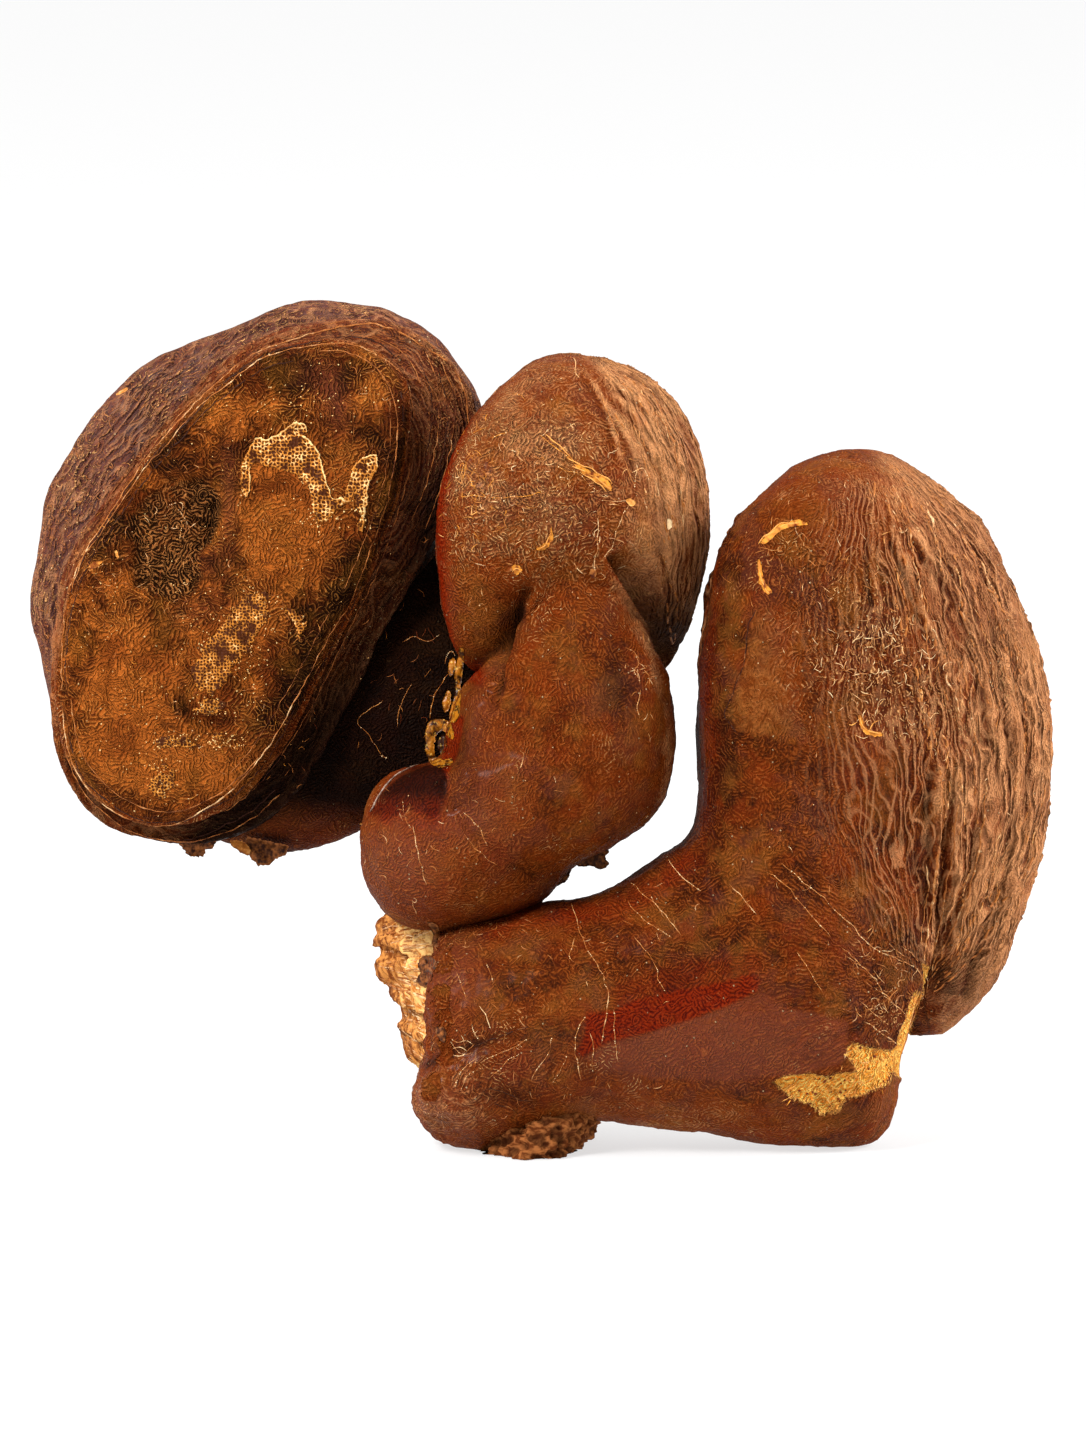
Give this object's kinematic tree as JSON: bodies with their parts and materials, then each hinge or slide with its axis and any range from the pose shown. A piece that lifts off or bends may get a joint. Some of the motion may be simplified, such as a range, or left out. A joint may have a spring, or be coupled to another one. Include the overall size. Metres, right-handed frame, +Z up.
{
  "type": "reishi mushroom cluster",
  "caption": "Dried reishi cluster: stout glossy brown stems fused at a torn base, each swelling into a thick rounded woody cap.",
  "frame": {"origin": "middle of the bounding box on the plane the cluster stands on", "axes": "+X across the row of caps, from the left cap to the right cap; +Y to the back; +Z up"},
  "size_m": [0.1284, 0.0458, 0.1035],
  "materials": {
    "crust": "hard reddish-brown crust, satin with glossy patches",
    "pore_cap": "matt golden-brown pore face with a reddish-brown rim",
    "torn_flesh": "matt, pale, fibrous, torn"
  },
  "bodies": {
    "root": {"base": "torn_flesh", "left_cap": "pore_cap", "left_stem": "crust", "middle_cap": "crust", "middle_stem": "crust", "right_cap": "crust", "right_stem": "crust"}
  },
  "joints": []
}
